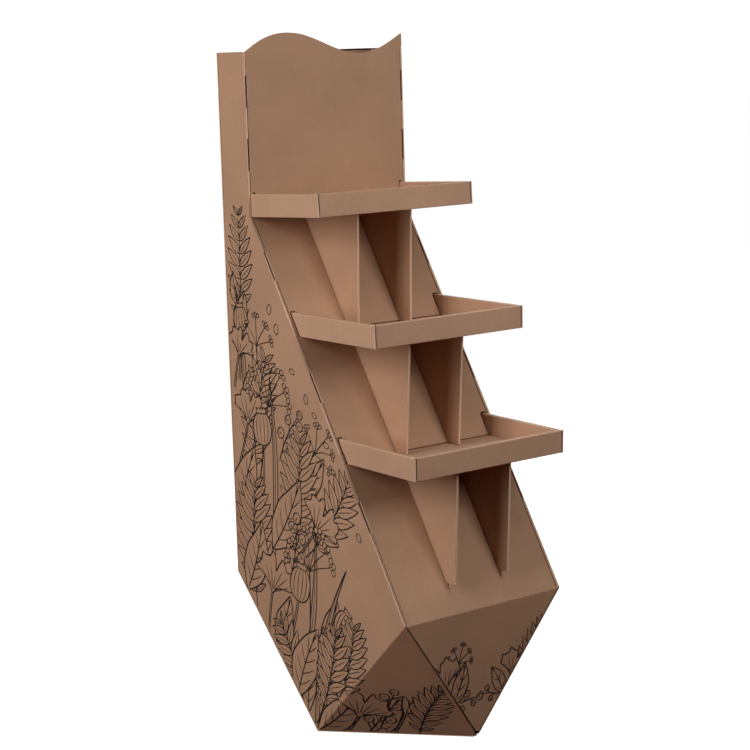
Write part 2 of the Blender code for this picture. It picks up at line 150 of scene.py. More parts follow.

# Painted shade in the gaps where the lower two trays meet the slope, in millimetres: the levels
# of the floor and of the wall's top, up the slope from the knee, and the distances of the wall's
# sides from the middle
TRAY_FEET = ((402.3, 460.0, 215.0, 228.0), (726.5, 783.6, 213.5, 226.5))
RIBS = ((-80.5, -75.5), (81.5, 86.5))
FLOOR_GAP = 2.6
INNER_GAP = 3.0
OUTER_GAP = 3.4
FLOOR_DEPTH = 6.0

# Painted shade along the joint of the slope with a side panel, in millimetres: its stretches
# between the locks, up the slope from the knee, its distance from the middle and its width
JOINTS = ((3.0, 227.7), (304.9, 552.1), (629.3, 868.4), (945.6, 1036.0))
JOINT_PLACE = 233.0
JOINT_GAP = 1.8

# Pen, in millimetres, with a nib that draws thinner lines across its turn than along it
PEN = 4.3
PEN_STEP = 1.0
SHORTEST = 3.0
SAG = 0.12
LONGEST_SPAN = 16.0
NIB_TURN = radians(50)
NIB_SHARE = 0.38
TAPER_RATE = 3

# Strokes, in shares of the pen's width
STEM = 1.2
RIM = 0.9
LEAFLET_RIM = 0.85
STALK = 0.8
TWIG = 0.75
VEIN = 0.7
RAY = 0.62
FINE = 0.6

# Starts of the random draws, and the range of a wave's start
SIDE_SEED = 7
FOOT_SEED = 11
PHASES = (0, 6)

# Plants, in shares of their length, width or radius, and in points on a curve
STEM_POINTS = 30
LEAF_POINTS = 40
LEAF_BELLY = 0.85
LEAF_WAVES = 17
LEAF_WAVER = 0.03
LEAF_RIB = 0.93
FIRST_VEIN = 0.16
VEIN_SPAN = 0.62
VEIN_RUN = 0.17
VEIN_BEND = 0.07
VEIN_REACH = 0.72
FERN_POINTS = 50
FERN_START = 0.10
FERN_RUN = 0.88
FERN_TIP = 0.12
FERN_LEANS = (66, 26)
LEAFLET_POINTS = 14
LEAFLET_WIDTH = 0.34
LEAFLET_BELLY = 0.75
LEAFLET_FOLD = (0.1, 0.75)
SMALL_LEAFLET = 0.4
FAN_POINTS = 61
FAN_OPENING = radians(62)
FAN_WAVES = ((0.06, 15), (0.025, 31))
FAN_CLEFT = 0.34
FAN_CLEFT_WIDTH = 0.075
FAN_DROOP = 0.16
FAN_WAIST = (0.35, 0.30)
FAN_REACH = 0.84
CLEFT_RAY = 0.7
UMBEL_OPENING = radians(74)
UMBEL_TUFT = (-0.8, 0, 0.8)
UMBEL_BUD = 0.20
UMBEL_BALL = 0.075
UMBEL_BEND = (0.55, 0.42)
POD_POINTS = 26
POD_HEIGHT = 2.6
POD_RIBS = (-0.62, -0.22, 0.22, 0.62)
POD_NECK = 0.46
POD_CROWN = (0.34, 0.16)
BERRY_POINTS = 22
FIRST_BERRY = 0.25
GLINT = 0.58
BERRY_EYE = 0.14

# Drawings, in millimetres: their limits, and each plant's kind, place, heading and sizes
SEED_SIZE = 13
SIDE_LIMIT = [(3, 1597), (104, 1597), (104, 1216), (629, 323), (668, -72), (302, 7), (3, 338)]
FOOT_LIMIT = [(-232, 316), (232, 316), (8, 8), (-8, 8)]

PLANTS = (
    # corner facet and lowest part
    ("fan", (360, -28), 44, dict(stalk=84, radius=92, bend=0.3, rays=7)),
    ("leaf", (300, 2), 24, dict(length=190, width=84, bend=0.5, veins=5)),
    ("berries", (395, -45), 36, dict(length=200, radius=12, count=7, bend=0.4)),
    ("fern", (300, 20), 58, dict(length=250, width=78, bend=0.45, pairs=8)),
    ("leaf", (228, 70), 74, dict(length=205, width=96, bend=-0.35, veins=5)),
    ("leaf", (440, -46), 66, dict(length=175, width=74, bend=-0.5, veins=5)),
    ("fern", (530, -72), 66, dict(length=200, width=66, bend=-0.4, pairs=8)),
    ("fan", (470, -52), 48, dict(stalk=96, radius=66, bend=0.2, rays=5)),
    ("leaf", (268, 40), 92, dict(length=150, width=58, bend=-0.5, veins=4)),
    ("fern", (250, 50), 100, dict(length=210, width=70, bend=0.45, pairs=7)),
    ("leaf", (340, 60), 44, dict(length=135, width=60, bend=0.6, veins=4)),
    ("fern", (372, 62), 60, dict(length=235, width=76, bend=0.35, pairs=9)),
    # lower wall
    ("pod", (180, 130), 66, dict(stalk=190, radius=38, bend=0.25)),
    ("leaf", (150, 190), 52, dict(length=140, width=66, bend=0.4, veins=4)),
    ("fan", (120, 200), 84, dict(stalk=110, radius=96, bend=-0.3, rays=7)),
    ("umbel", (262, 60), 80, dict(stalk=330, radius=96, bend=0.22)),
    ("leaf", (40, 300), 58, dict(length=195, width=92, bend=0.4, veins=5)),
    ("fern", (80, 240), 96, dict(length=330, width=96, bend=-0.25, pairs=10)),
    ("leaf", (300, 110), 62, dict(length=160, width=66, bend=0.5, veins=5)),
    ("blade", (300, 20), 86, dict(length=420, width=19, bend=-0.5)),
    ("blade", (240, 60), 70, dict(length=460, width=18, bend=0.35)),
    ("pod", (330, 120), 72, dict(stalk=150, radius=29, bend=-0.35)),
    ("leaf", (330, 200), 52, dict(length=155, width=68, bend=0.5, veins=4)),
    ("berries", (200, 330), 60, dict(length=180, radius=13, count=7, bend=0.5)),
    # middle wall
    ("leaf", (150, 420), 48, dict(length=220, width=102, bend=0.35, veins=5)),
    ("fan", (230, 400), 40, dict(stalk=120, radius=92, bend=0.3, rays=7)),
    ("fern", (190, 380), 64, dict(length=330, width=92, bend=0.4, pairs=10)),
    ("leaf", (20, 470), 78, dict(length=205, width=96, bend=-0.3, veins=5)),
    ("pod", (110, 440), 82, dict(stalk=230, radius=36, bend=0.2)),
    ("leaf", (250, 560), 30, dict(length=155, width=70, bend=0.5, veins=4)),
    ("fern", (280, 420), 38, dict(length=270, width=82, bend=0.45, pairs=8)),
    ("umbel", (60, 420), 72, dict(stalk=360, radius=88, bend=0.15)),
    ("fan", (30, 620), 64, dict(stalk=100, radius=84, bend=0.3, rays=7)),
    ("berries", (190, 640), 70, dict(length=140, radius=12, count=6, bend=-0.5)),
    ("blade", (150, 400), 80, dict(length=440, width=17, bend=0.3)),
    ("fern", (70, 560), 82, dict(length=330, width=86, bend=-0.2, pairs=10)),
    ("umbel", (230, 560), 56, dict(stalk=150, radius=68, bend=-0.3, rays=5)),
    # upper wall
    ("leaf", (60, 740), 66, dict(length=165, width=78, bend=-0.35, veins=4)),
    ("leaf", (100, 700), 58, dict(length=155, width=64, bend=0.4, veins=4)),
    ("fan", (20, 800), 80, dict(stalk=80, radius=68, bend=-0.3, rays=5)),
    ("umbel", (90, 640), 80, dict(stalk=270, radius=64, rays=5, bend=0.2)),
    ("pod", (40, 820), 78, dict(stalk=120, radius=27, bend=0.3)),
    ("leaf", (34, 930), 62, dict(length=115, width=54, bend=0.3, veins=3)),
    ("blade", (60, 720), 88, dict(length=330, width=15, bend=0.2)),
    ("leaf", (44, 1000), 108, dict(length=84, width=36, bend=-0.3, veins=3)),
    ("fern", (46, 880), 84, dict(length=345, width=64, bend=0.12, pairs=10)),
)
SEEDS = ((170, 1000), (195, 955), (250, 860), (300, 800), (330, 765), (395, 640), (400, 470),
         (430, 300), (450, 240), (480, 500), (370, 700))

FOOT_PLANTS = (
    ("fan", (-92, 92), 106, dict(stalk=46, radius=80, bend=0.2, rays=7)),
    ("leaf", (-84, 96), 58, dict(length=108, width=48, bend=0.5, veins=4)),
    ("umbel", (-88, 94), 84, dict(stalk=104, radius=42, bend=-0.15, rays=5)),
    ("fern", (-94, 90), 142, dict(length=120, width=48, bend=0.3, pairs=6)),
    ("berries", (-80, 90), 26, dict(length=78, radius=8, count=4, bend=-0.6)),
    ("fan", (86, 90), 76, dict(stalk=40, radius=68, bend=-0.25, rays=7)),
    ("leaf", (78, 92), 112, dict(length=88, width=40, bend=0.3, veins=3)),
    ("fern", (88, 88), 50, dict(length=190, width=58, bend=0.2, pairs=8)),
    ("berries", (74, 88), 150, dict(length=68, radius=7.5, count=4, bend=0.5)),
)

# Studio
FLOOR_RADIUS = 60
FLOOR_SIDES = 128
FLOOR_DROP = 0.0005
FLOOR_TONE = (0.35, 0.35, 0.35)
FLOOR_GLOW = 1.0
FLOOR_BOUNCE = (0.075, 0.012, 0.0)
EVEN_TINT = (1.0, 0.98, 0.95)
EVEN_STRENGTH = 0.01
WHITE = (1.0, 1.0, 1.0)
WHITE_STRENGTH = 1.1
WARM = (1.0, 0.98, 0.96)

# Soft lights: name, place, the point that it is turned to, width and height, and power in watts
LIGHTS = (
    ("key_left", (-3.2, -0.3, 1.85), (0, 0, 0.9), (1.6, 2.2), 66),
    ("key_high", (-2.6, -0.3, 2.8), (0, 0, 0.9), (1.6, 1.6), 8),
    ("key_top", (-1.6, -0.6, 3.4), (0, 0, 0.9), (1.4, 1.4), 3),
    ("front", (0.3, -2.2, 1.9), (0, 0, 1.1), (1.0, 1.0), 19.5),
    ("front_over", (0.2, -1.5, 3.0), (0, 0, 1.2), (1.2, 1.2), 10),
    ("behind", (2.2, 2.4, 1.9), (0, 0, 0.8), (2.0, 2.0), 70),
    ("behind_low", (0.6, 3.0, 0.6), (0, 0, 0.7), (1.6, 1.2), 18),
)

for leftover in list(bpy.data.objects):
    bpy.data.objects.remove(leftover)

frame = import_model()


def new_object(name, data):
    """An object in the scene."""
    made = bpy.data.objects.new(name, data)
    bpy.context.scene.collection.objects.link(made)
    return made


def colour(parts, share=1.0):
    """A colour for a socket, its parts scaled by a share."""
    return (*(part * share for part in parts), 1.0)


class Nodes:
    """Short calls for building a material's node tree."""

    def __init__(self, name):
        self.material = bpy.data.materials.new(name)
        self.material.use_nodes = True
        self.tree = self.material.node_tree
        self.shader = self.tree.nodes["Principled BSDF"]

    def add(self, kind, **settings):
        node = self.tree.nodes.new("ShaderNode" + kind)
        for key, value in settings.items():
            setattr(node, key, value)
        return node

    def join(self, source, target):
        self.tree.links.new(source, target)

    def feed(self, socket, value):
        """Links an output to a socket, or sets the socket to a plain value."""
        if isinstance(value, bpy.types.NodeSocket):
            self.join(value, socket)
        else:
            socket.default_value = value

    def set_looks(self, tone, roughness, gloss):
        """Sets the shader's colour, its roughness and its specular level."""
        self.feed(self.shader.inputs["Base Color"], tone)
        self.feed(self.shader.inputs["Roughness"], roughness)
        self.shader.inputs["Specular IOR Level"].default_value = gloss

    def place(self):
        return self.add("TexCoord").outputs["Object"]

    def attribute(self, name):
        return self.add("Attribute", attribute_name=name).outputs["Fac"]

    def maths(self, operation, first, second=0.0):
        node = self.add("Math", operation=operation)
        self.feed(node.inputs[0], first)
        self.feed(node.inputs[1], second)
        return node.outputs[0]

    def off(self, value, middle):
        """How far a value is from another."""
        return self.maths("ABSOLUTE", self.maths("SUBTRACT", value, middle))

    def noise(self, where, scale, detail=2.0, roughness=0.5):
        node = self.add("TexNoise")
        self.join(where, node.inputs["Vector"])
        node.inputs["Scale"].default_value = scale
        node.inputs["Detail"].default_value = detail
        node.inputs["Roughness"].default_value = roughness
        return node.outputs["Fac"]

    def grain(self, scales, detail=2.0, roughness=0.5):
        """Noise with a scale of its own along each axis."""
        node = self.add("Mapping")
        self.join(self.place(), node.inputs["Vector"])
        node.inputs["Scale"].default_value = scales
        return self.noise(node.outputs["Vector"], 1.0, detail, roughness)

    def spread(self, value, low, high, to_low=0.0, to_high=1.0):
        node = self.add("MapRange")
        self.feed(node.inputs["Value"], value)
        node.inputs["From Min"].default_value = low
        node.inputs["From Max"].default_value = high
        node.inputs["To Min"].default_value = to_low
        node.inputs["To Max"].default_value = to_high
        return node.outputs["Result"]

    def blend(self, share, first, second):
        node = self.add("Mix", data_type="RGBA")
        self.feed(node.inputs[0], share)
        self.feed(node.inputs[6], first)
        self.feed(node.inputs[7], second)
        return node.outputs[2]

    def over(self, tone, mask, most, paint):
        """A tone with a paint over it where the mask is, at most by a share."""
        return self.blend(self.maths("MULTIPLY", mask, most), tone, paint)

    def bump(self, height, strength, distance, below=None):
        node = self.add("Bump")
        node.inputs["Strength"].default_value = strength
        node.inputs["Distance"].default_value = distance
        self.join(height, node.inputs["Height"])
        if below is not None:
            self.join(below, node.inputs["Normal"])
        return node.outputs["Normal"]

    def flutes(self):
        """The wave of the flutes inside the board."""
        turn = self.maths("MULTIPLY", self.attribute("across"), tau / FLUTE_PITCH)
        return self.maths("SINE", turn)


def kraft_liner(name, body):
    """Kraft paper over flutes: soft clouds, fibres, faint ridges of the flutes, and paler folds as
    worn liner with a painted highlight.
    """
    nodes = Nodes(name)
    place = nodes.place()
    clouds = nodes.spread(nodes.noise(place, CLOUDS, detail=4.0, roughness=0.55), 0.3, 0.7)
    fibres = nodes.spread(nodes.grain(FIBRES, detail=3.0, roughness=0.6), 0.35, 0.65)
    flecks = nodes.spread(nodes.grain(FLECKS, detail=1.0), 0.68, 0.80)
    wear_and_highlight = nodes.spread(nodes.noise(place, WEAR_AND_HIGHLIGHT, detail=3.0), 0.40, 0.62)
    fold = nodes.maths("MULTIPLY", nodes.attribute("fold"), wear_and_highlight)
    wave = nodes.flutes()
    ridge = nodes.spread(wave, -1.0, 1.0, to_high=0.03)
    tone = nodes.blend(clouds, colour(body, 0.92), colour(body, 1.07))
    tone = nodes.over(tone, fibres, 0.30, colour(body, 0.86))
    tone = nodes.over(tone, flecks, 0.35, colour(body, 0.55))
    tone = nodes.blend(ridge, tone, colour(body, 1.3))
    # Paler folds: worn liner along the creases, with a painted highlight on them
    tone = nodes.over(tone, fold, 0.45, colour(body, 1.45))
    nodes.set_looks(tone, nodes.spread(fibres, 0.0, 1.0, 0.72, 0.86), gloss=0.35)
    ridges = nodes.bump(wave, strength=0.12, distance=0.0001)
    grain = nodes.bump(fibres, strength=0.25, distance=0.0003, below=ridges)
    nodes.join(grain, nodes.shader.inputs["Normal"])
    return nodes.material


def raw_edge(name, body, shaded=0.0):
    """A cut edge: two liners with the wave of the flute between them, and painted shade in the
    hollows.

    Its inner half gets painted shade by a share where the edge stands in a joint.
    """
    nodes = Nodes(name)
    depth = nodes.attribute("depth")
    line = nodes.maths("ADD", nodes.maths("MULTIPLY", nodes.flutes(), FLUTE_SWING), MIDDLE)
    flute = nodes.spread(nodes.off(depth, line), *FLUTE_PAPER, to_low=1.0, to_high=0.0)
    liner = nodes.spread(nodes.off(depth, MIDDLE), *LINER_PAPER)
    paper = nodes.maths("MAXIMUM", flute, liner)
    crushed = nodes.spread(nodes.grain(CRUSH, detail=3.0), 0.35, 0.65)
    pale = nodes.blend(crushed, colour(body, 0.96), colour(body, 1.08))
    # Painted shade: the hollows between the liners and the flute take a darker tone than the paper
    tone = nodes.blend(paper, colour(body, 0.80), pale)
    # Painted shade over the inner half of an edge that stands in a joint
    joint = nodes.spread(depth, *JOINT_SHADE_EDGE, to_high=shaded)
    tone = nodes.blend(joint, tone, colour(body, 0.10))
    nodes.set_looks(tone, 0.9, gloss=0.2)
    relief = nodes.bump(paper, strength=0.3, distance=0.0004)
    nodes.join(relief, nodes.shader.inputs["Normal"])
    return nodes.material


def two_toned(name, scales, reach, tones, roughness, gloss):
    """A dull colour that goes from one tone to another with a fine grain."""
    nodes = Nodes(name)
    grain = nodes.spread(nodes.grain(scales, detail=3.0), *reach)
    tone = nodes.blend(grain, *(colour(parts) for parts in tones))
    nodes.set_looks(tone, nodes.spread(grain, 0.0, 1.0, *roughness), gloss)
    return nodes.material


def pressed_greyboard(name):
    """Grey board pressed from waste paper, with clouds and dark flecks."""
    nodes = Nodes(name)
    clouds = nodes.spread(nodes.noise(nodes.place(), GREY_CLOUDS, detail=3.0), 0.3, 0.7)
    flecks = nodes.spread(nodes.grain(GREY_FLECKS), 0.60, 0.72)
    tone = nodes.blend(clouds, *(colour(parts) for parts in GREY_TONES))
    tone = nodes.over(tone, flecks, 0.5, colour(GREY_FLECK))
    nodes.set_looks(tone, nodes.spread(clouds, 0.0, 1.0, 0.82, 0.92), gloss=0.5)
    return nodes.material


def welded(node):
    """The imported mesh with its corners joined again."""
    work = bmesh.new()
    work.from_mesh(node.data)
    bmesh.ops.remove_doubles(work, verts=work.verts, dist=WELD)
    work.normal_update()
    return work


def spread_over(faces, passes):
    """Groups of faces that are joined by edges which pass a test, in the order of the faces."""
    left = set(faces)
    groups = []
    for start in faces:
        if start not in left:
            continue
        left.remove(start)
        group = []
        waiting = [start]
        while waiting:
            face = waiting.pop()
            group.append(face)
            for edge in filter(passes, face.edges):
                for other in edge.link_faces:
                    if other in left:
                        left.remove(other)
                        waiting.append(other)
        groups.append(group)
    return groups


def is_flat(edge):
    return len(edge.link_faces) == 2 and edge.calc_face_angle() < FLAT_TURN


def is_liner(face):
    return face.material_index == LINER


def in_liner(edge):
    return all(is_liner(face) for face in edge.link_faces)


def area_of(group):
    return sum(face.calc_area() for face in group)


def mean_width(group):
    """Twice the area over the outline: near a strip's width, and wide for a panel."""
    rim = sum(edge.calc_length() for face in group for edge in face.edges if not is_flat(edge))
    return 2 * area_of(group) / rim


def part_cut_edges(work, thickness):
    """Gives the board's cut edges a material of their own, and joins the faces of each panel."""
    for face in work.faces:
        face.material_index = LINER
    for group in spread_over(work.faces, is_flat):
        if mean_width(group) < thickness * WIDEST_EDGE:
            for face in group:
                face.material_index = EDGE
    raw = [face for face in work.faces if not is_liner(face)]
    bmesh.ops.join_triangles(work, faces=raw, angle_face_threshold=FLAT_TURN,
                             angle_shape_threshold=SQUARENESS)
    inner_edges = [edge for edge in work.edges if is_flat(edge) and in_liner(edge)]
    bmesh.ops.dissolve_edges(work, edges=inner_edges, use_verts=False)


def round_creases(work):
    """Rounds the creases, wide outside and narrow inside, and marks the faces that this makes."""
    fold_mark = work.faces.layers.int.new("fold_mark")
    for convex, width, steps in ((True, OUTER_FOLD, OUTER_FOLD_STEPS),
                                 (False, INNER_FOLD, INNER_FOLD_STEPS)):
        folds = [edge for edge in work.edges
                 if len(edge.link_faces) == 2 and edge.is_convex == convex
                 and edge.calc_face_angle() > FOLD_TURN and in_liner(edge)
                 and all(face[fold_mark] == 0 for face in edge.link_faces)]
        made = bmesh.ops.bevel(work, geom=folds, offset=width, offset_type="OFFSET",
                               segments=steps, profile=ROUND_PROFILE, affect="EDGES",
                               clamp_overlap=False, material=LINER)
        for face in made["faces"]:
            face[fold_mark] = 1
    work.normal_update()
    return fold_mark


def flute_direction(normal, flutes):
    """The flutes' run on a face: the first wish that isn't square to the face, laid flat on it."""
    for wish in flutes:
        flat = wish - normal * wish.dot(normal)
        if flat.length > LEAST_FLUTE:
            return flat.normalized()
    return normal.orthogonal().normalized()


def board_marks(work, fold_mark, flutes):
    """For each face corner: its place across the flutes, its depth in the board, its fold mark."""
    sides = spread_over([face for face in work.faces if is_liner(face)], in_liner)
    sides.sort(key=area_of, reverse=True)
    side_of = {face: int(number > 0) for number, group in enumerate(sides) for face in group}
    marks = {"across": [], "depth": [], "fold": []}
    for face in work.faces:
        skin = face
        if not is_liner(face):
            beside = [(edge.calc_length(), other) for edge in face.edges
                      for other in edge.link_faces if other in side_of]
            if beside:
                skin = max(beside, key=lambda pair: pair[0])[1]
        depth = side_of.get(skin, 0)
        outwards = -skin.normal if depth else skin.normal
        across = outwards.cross(flute_direction(outwards, flutes))
        for corner in face.loops:
            point = corner.vert
            if not is_liner(face):
                depth = max((side_of[other] for other in point.link_faces if other in side_of),
                            default=0)
            marks["across"].append(point.co.dot(across))
            marks["depth"].append(float(depth))
            marks["fold"].append(float(face[fold_mark]))
    return marks


def dressed(node_name, thickness, flutes, materials):
    """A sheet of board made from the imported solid, with round creases and told-apart cut edges."""
    work = welded(frame["nodes"][node_name])
    part_cut_edges(work, thickness)
    fold_mark = round_creases(work)
    marks = board_marks(work, fold_mark, flutes)
    has_foot_edge = len(materials) > FOOT_EDGE
    for face in work.faces:
        face.smooth = True
        # Cut edges below the knee take the dark tone of painted shade
        if has_foot_edge and not is_liner(face) and face.calc_center_median().z < KNEE[2]:
            face.material_index = FOOT_EDGE
    for edge in work.edges:
        if not is_flat(edge) and not in_liner(edge):
            edge.smooth = False
    name = node_name + "_board"
    mesh = bpy.data.meshes.new(name)
    work.to_mesh(mesh)
    work.free()
    for title, values in marks.items():
        mesh.attributes.new(title, "FLOAT", "CORNER").data.foreach_set("value", values)
    for material in materials:
        mesh.materials.append(material)
    piece = new_object(name, mesh)
    shading = piece.modifiers.new("Even shading", "WEIGHTED_NORMAL")
    shading.weight = BY_AREA_ALONE
    shading.keep_sharp = True
    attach(piece, "root")
    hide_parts(node_name)
    return piece


def inside(points, polygon):
    """Which points lie in a polygon."""
    x, y = points[:, :1], points[:, 1:]
    start_x, start_y = polygon[:, 0], polygon[:, 1]
    end_x, end_y = np.roll(start_x, -1), np.roll(start_y, -1)
    rise = np.where(end_y == start_y, 1.0, end_y - start_y)
    level = (start_y > y) != (end_y > y)
    left = x < (end_x - start_x) * (y - start_y) / rise + start_x
    return (level & left).sum(axis=1) % 2 == 1


def resampled(points, step):
    """A polyline with even steps."""
    legs = np.hypot(*np.diff(points, axis=0).T)
    along = np.concatenate(([0], np.cumsum(legs)))
    count = max(2, int(along[-1] / step) + 1)
    places = np.linspace(0, along[-1], count)
    return np.stack([np.interp(places, along, points[:, axis]) for axis in (0, 1)], axis=1)


def sparse(points):
    """Which points to keep so that the line still looks smooth."""
    keep = [0]
    while keep[-1] < len(points) - 1:
        start = keep[-1]
        reach = start + 1
        while reach + 1 < len(points):
            chord = points[reach + 1] - points[start]
            size = np.hypot(*chord)
            if size > LONGEST_SPAN:
                break
            between = points[start + 1:reach + 1] - points[start]
            off = np.abs(between[:, 0] * chord[1] - between[:, 1] * chord[0]) / size
            if off.max() > SAG:
                break
            reach += 1
        keep.append(reach)
    return keep


def smooth_line(points, steps):
    """A curve through its points, with some steps between each two."""
    points = np.asarray(points, float)
    ends = np.vstack((2 * points[0] - points[1], points, 2 * points[-1] - points[-2]))
    t = np.linspace(0, 1, steps, endpoint=False)[:, None]
    parts = []
    for before, start, end, after in zip(ends, ends[1:], ends[2:], ends[3:]):
        run = end - before
        pull = 2 * before - 5 * start + 4 * end - after
        swing = 3 * start - before - 3 * end + after
        parts.append((2 * start + run * t + pull * t ** 2 + swing * t ** 3) / 2)
    return np.vstack((*parts, points[-1:]))


def straight(length, count, aside=0.0):
    """Points on a line along x."""
    return np.stack((np.linspace(0, length, count), np.full(count, aside)), axis=1)


def towards(angle, distance=1.0):
    return distance * np.array([cos(angle), sin(angle)])


def arc(centre, radius, start, end, steps):
    angles = np.linspace(start, end, steps)
    return centre + radius * np.stack((np.cos(angles), np.sin(angles)), axis=1)


def ring(centre, radius, steps):
    """The corners of a round outline."""
    return arc(centre, radius, 0, tau, steps)[:-1]


def closed(upper):
    """The outline of a slim shape, from its upper half that starts and ends on its middle line."""
    return np.vstack((upper, upper[1:-1][::-1] * (1, -1)))


def leaflet(length):
    share = np.linspace(0, 1, LEAFLET_POINTS)
    half = length * LEAFLET_WIDTH / 2 * np.sin(pi * share ** LEAFLET_BELLY)
    return closed(np.stack((share * length, half), axis=1))


def turned(points, angle):
    return np.asarray(points) @ np.array([[cos(angle), sin(angle)], [-sin(angle), cos(angle)]])


def bent(points, length, bend):
    """Bends a shape that grows along x, so that its far end has turned by an angle."""
    x, y = np.asarray(points, float).T
    radius = length / bend
    angle = x / radius
    return np.stack((np.sin(angle) * (radius - y), radius - np.cos(angle) * (radius - y)), axis=1)


class Drawing:
    """Lines of a pen. What is drawn first stands in front and hides the lines of the rest."""

    def __init__(self, limit):
        self.limit = np.asarray(limit, float)
        self.masks = []
        self.lines = []

    def line(self, points, width, thin=(1.0, 1.0)):
        """One stroke. thin is the share of the width that its two ends keep."""
        points = resampled(np.asarray(points, float), PEN_STEP)
        seen = inside(points, self.limit)
        low, high = points.min(axis=0), points.max(axis=0)
        for outline, mask_low, mask_high in self.masks:
            if (mask_high >= low).all() and (mask_low <= high).all():
                seen &= ~inside(points, outline)
        share = np.linspace(0, 1, len(points))
        run = np.gradient(points, axis=0)
        heading = np.arctan2(run[:, 1], run[:, 0])
        widths = width * (1 - NIB_SHARE * np.sin(heading - NIB_TURN) ** 2)
        for kept, from_end in zip(thin, (share, 1 - share)):
            widths = widths * (kept + (1 - kept) * np.minimum(1, from_end * TAPER_RATE))
        turns = np.flatnonzero(np.diff(seen.astype(int)))
        for first, last in zip(np.r_[0, turns + 1], np.r_[turns + 1, len(points)]):
            if seen[first] and (last - first) * PEN_STEP > SHORTEST:
                keep = sparse(points[first:last])
                self.lines.append((points[first:last][keep], widths[first:last][keep]))

    def shape(self, outline, width, inner=()):
        """A closed shape with its inner strokes, given as points, width and thin ends."""
        outline = np.asarray(outline, float)
        self.line(np.vstack((outline, outline[:1])), width)
        for points, inner_width, thin in inner:
            self.line(points, inner_width, thin)
        self.masks.append((outline, outline.min(axis=0), outline.max(axis=0)))


